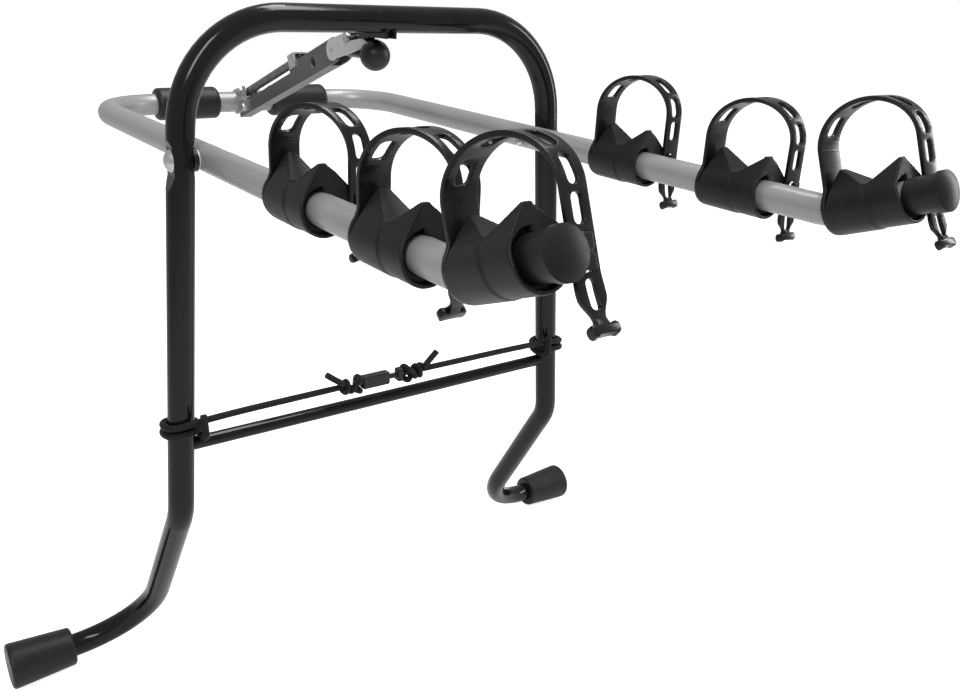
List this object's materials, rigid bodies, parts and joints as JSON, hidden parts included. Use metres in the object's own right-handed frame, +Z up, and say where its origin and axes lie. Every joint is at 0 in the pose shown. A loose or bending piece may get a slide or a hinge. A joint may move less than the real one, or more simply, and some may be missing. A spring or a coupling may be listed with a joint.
{
  "type": "bike carrier",
  "caption": "Folding hatch-mounted carrier: bent black tube frame with feet, silver U arms with strapped rubber cradles, and a latching brace.",
  "frame": {"origin": "midway between the two rubber feet, on the line that they rest on", "axes": "+X across the vehicle, +Y towards the vehicle (the arms' base), +Z up"},
  "size_m": [0.932, 1.0283, 0.8507],
  "materials": {
    "black_paint": "gloss black paint",
    "silver_paint": "satin silver paint",
    "grey_paint": "satin dark grey paint",
    "zinc": "zinc plated steel",
    "rubber": "matte black rubber",
    "strap_rubber": "smooth black rubber",
    "black_plastic": "moulded black plastic",
    "knob_plastic": "matte black plastic",
    "white_nylon": "white nylon",
    "cord_cover": "woven black cover"
  },
  "bodies": {
    "frame": {"main_frame": "black_paint", "crossbar": "black_paint", "foot_left": "rubber", "foot_right": "rubber", "catch_bracket": "black_paint", "catch_pin": "zinc", "pivot_bolts": "zinc", "pivot_nuts": "zinc", "pivot_spacers": "black_plastic", "nylon_washers": "white_nylon", "cord_left": "cord_cover", "cord_right": "cord_cover", "cord_hook_left": "black_plastic", "cord_hook_right": "black_plastic"},
    "arms": {"carrier_arms": "silver_paint", "sleeve_left": "rubber", "sleeve_right": "rubber", "end_cap_left": "rubber", "end_cap_right": "rubber", "cradle_left_1": "rubber", "cradle_left_2": "rubber", "cradle_left_3": "rubber", "cradle_right_1": "rubber", "cradle_right_2": "rubber", "cradle_right_3": "rubber"},
    "brace": {"brace_channel": "grey_paint", "brace_rod": "zinc", "rod_clip": "zinc", "base_strap": "zinc", "strap_bolts": "zinc", "strap_nuts": "zinc"},
    "latch": {"latch_plates": "zinc", "latch_pin": "zinc", "lever_rod": "black_paint", "lever_knob": "knob_plastic"},
    "strap_left_1": {"strap_left_1": "strap_rubber"},
    "strap_left_2": {"strap_left_2": "strap_rubber"},
    "strap_left_3": {"strap_left_3": "strap_rubber"},
    "strap_right_1": {"strap_right_1": "strap_rubber"},
    "strap_right_2": {"strap_right_2": "strap_rubber"},
    "strap_right_3": {"strap_right_3": "strap_rubber"}
  },
  "joints": [
    {"name": "arm_fold", "type": "hinge", "parent": "frame", "child": "arms", "pos_m": [0, -0.166, 0.693], "axis": [1, 0, 0], "range_deg": [-50, 0]},
    {"name": "brace_swing", "type": "hinge", "parent": "arms", "child": "brace", "pos_m": [0, 0.2614, 0.70046], "axis": [1, 0, 0], "range_deg": [0, 32]},
    {"name": "latch_lever", "type": "hinge", "parent": "brace", "child": "latch", "pos_m": [0, -0.05362, 0.79577], "axis": [1, 0, 0], "range_deg": [0, 70]},
    {"name": "strap_left_1_open", "type": "hinge", "parent": "arms", "child": "strap_left_1", "pos_m": [-0.21567, -0.3897, 0.77236], "axis": [-1, 0, 0], "range_deg": [0, 95]},
    {"name": "strap_left_2_open", "type": "hinge", "parent": "arms", "child": "strap_left_2", "pos_m": [-0.21473, -0.54824, 0.77159], "axis": [-1, 0, 0], "range_deg": [0, 25]},
    {"name": "strap_left_3_open", "type": "hinge", "parent": "arms", "child": "strap_left_3", "pos_m": [-0.21425, -0.64617, 0.78029], "axis": [-1, 0, 0], "range_deg": [0, 95]},
    {"name": "strap_right_1_open", "type": "hinge", "parent": "arms", "child": "strap_right_1", "pos_m": [0.21592, -0.34789, 0.78409], "axis": [-1, 0, 0], "range_deg": [0, 95]},
    {"name": "strap_right_2_open", "type": "hinge", "parent": "arms", "child": "strap_right_2", "pos_m": [0.21492, -0.51682, 0.77664], "axis": [-1, 0, 0], "range_deg": [0, 33]},
    {"name": "strap_right_3_open", "type": "hinge", "parent": "arms", "child": "strap_right_3", "pos_m": [0.21425, -0.6363, 0.7884], "axis": [-1, 0, 0], "range_deg": [0, 95]}
  ]
}
